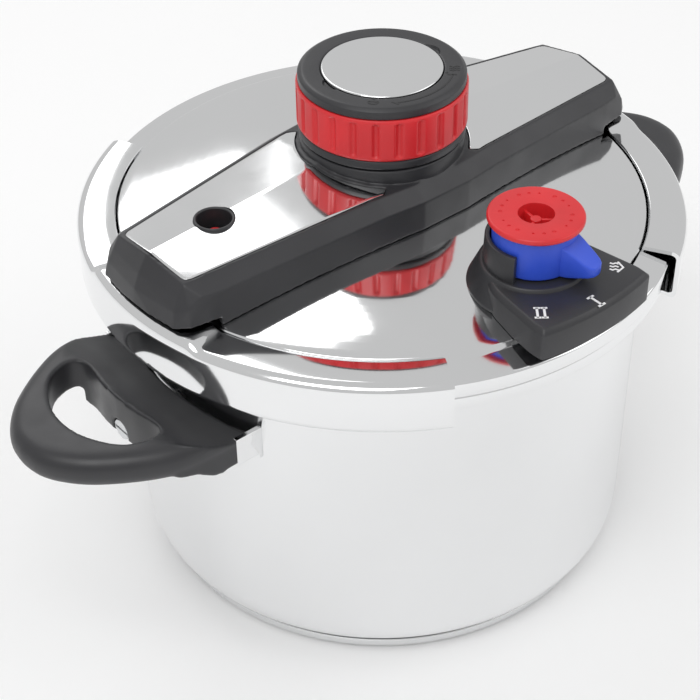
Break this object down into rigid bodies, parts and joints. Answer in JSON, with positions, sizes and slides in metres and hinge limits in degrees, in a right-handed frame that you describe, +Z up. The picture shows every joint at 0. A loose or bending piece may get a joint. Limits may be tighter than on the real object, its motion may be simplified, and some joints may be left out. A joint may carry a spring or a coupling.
{
  "type": "pressure canner",
  "caption": "Steel pressure canner: lidded pot with two loop handles, clamp jaws worked by a turning knob, a pressure selector and a pressure indicator.",
  "frame": {"origin": "centre of the pot's base, on the surface that it stands on", "axes": "+Z up, X along the bridge and the two side handles, -Y through the pressure selector"},
  "size_m": [0.364, 0.2498, 0.2281],
  "materials": {
    "polished_steel": "mirror-polished stainless steel",
    "base_steel": "satin stainless steel",
    "base_aluminium": "plain aluminium disc",
    "inner_steel": "zinc-bright steel",
    "black_plastic": "satin moulded black plastic",
    "red_plastic": "satin moulded red plastic",
    "blue_plastic": "satin moulded blue plastic",
    "silicone": "matt grey silicone",
    "brass": "turned brass"
  },
  "bodies": {
    "pot": {"pot_body": "polished_steel", "base_core": "base_aluminium", "base_cap": "base_steel", "handle_left": "black_plastic", "handle_bracket_left": "polished_steel", "handle_screw_left": "inner_steel", "handle_right": "black_plastic", "handle_bracket_right": "polished_steel", "handle_screw_right": "inner_steel"},
    "lid": {"lid_shell": "polished_steel", "gasket": "silicone", "lid_stud": "inner_steel", "stud_nut": "inner_steel", "knob_clip": "inner_steel", "bridge_channel": "inner_steel", "bridge_cover": "black_plastic", "trim_left": "polished_steel", "bridge_screw_left": "inner_steel", "bridge_spacer_left": "inner_steel", "bridge_nut_left": "inner_steel", "trim_right": "polished_steel", "bridge_screw_right": "inner_steel", "bridge_spacer_right": "inner_steel", "bridge_nut_right": "inner_steel", "indicator_bush": "silicone", "indicator_housing": "inner_steel", "safety_valve": "brass", "safety_nut": "brass", "valve_housing": "black_plastic", "valve_body": "brass", "valve_nut": "brass", "valve_filter": "inner_steel", "valve_screw_left": "inner_steel", "valve_screw_right": "inner_steel"},
    "knob": {"knob_hub": "black_plastic", "knob_grip": "red_plastic", "knob_top_ring": "black_plastic", "knob_disc": "polished_steel", "cam_disc": "inner_steel"},
    "jaw_left": {"jaw_left": "polished_steel", "slider_left": "inner_steel", "cam_pin_left": "inner_steel", "jaw_rivet_a_left": "inner_steel", "jaw_rivet_b_left": "inner_steel"},
    "jaw_right": {"jaw_right": "polished_steel", "slider_right": "inner_steel", "cam_pin_right": "inner_steel", "jaw_rivet_a_right": "inner_steel", "jaw_rivet_b_right": "inner_steel"},
    "indicator": {"indicator_pin": "red_plastic", "indicator_seal": "silicone"},
    "selector": {"selector_collar": "blue_plastic", "selector_cap": "red_plastic"},
    "regulator": {"valve_cone": "brass", "valve_spring": "inner_steel"}
  },
  "joints": [
    {"name": "lid_lift", "type": "slide", "parent": "pot", "child": "lid", "axis": [0, 0, 1], "range_m": [0, 0.001]},
    {"name": "knob_turn", "type": "hinge", "parent": "lid", "child": "knob", "pos_m": [0, 0, 0.1647], "axis": [0, 0, 1], "range_deg": [0, 100]},
    {"name": "jaw_left_slide", "type": "slide", "parent": "lid", "child": "jaw_left", "axis": [-1, 0, 0], "range_m": [0, 0.01]},
    {"name": "jaw_right_slide", "type": "slide", "parent": "lid", "child": "jaw_right", "axis": [1, 0, 0], "range_m": [0, 0.01]},
    {"name": "selector_turn", "type": "hinge", "parent": "lid", "child": "selector", "pos_m": [0, -0.0885, 0.1647], "axis": [0, 0, 1], "range_deg": [-54, 29]},
    {"name": "indicator_rise", "type": "slide", "parent": "lid", "child": "indicator", "axis": [0, 0, 1], "range_m": [0, 0.0045]},
    {"name": "valve_lift", "type": "slide", "parent": "lid", "child": "regulator", "axis": [0, 0, 1], "range_m": [0, 0.0015], "deforming": ["valve_spring"]}
  ],
  "couplings": [
    {"joint": "jaw_left_slide", "follows": "knob_turn", "m_per_rad": 0.0057295},
    {"joint": "jaw_right_slide", "follows": "knob_turn", "m_per_rad": 0.0057295}
  ]
}
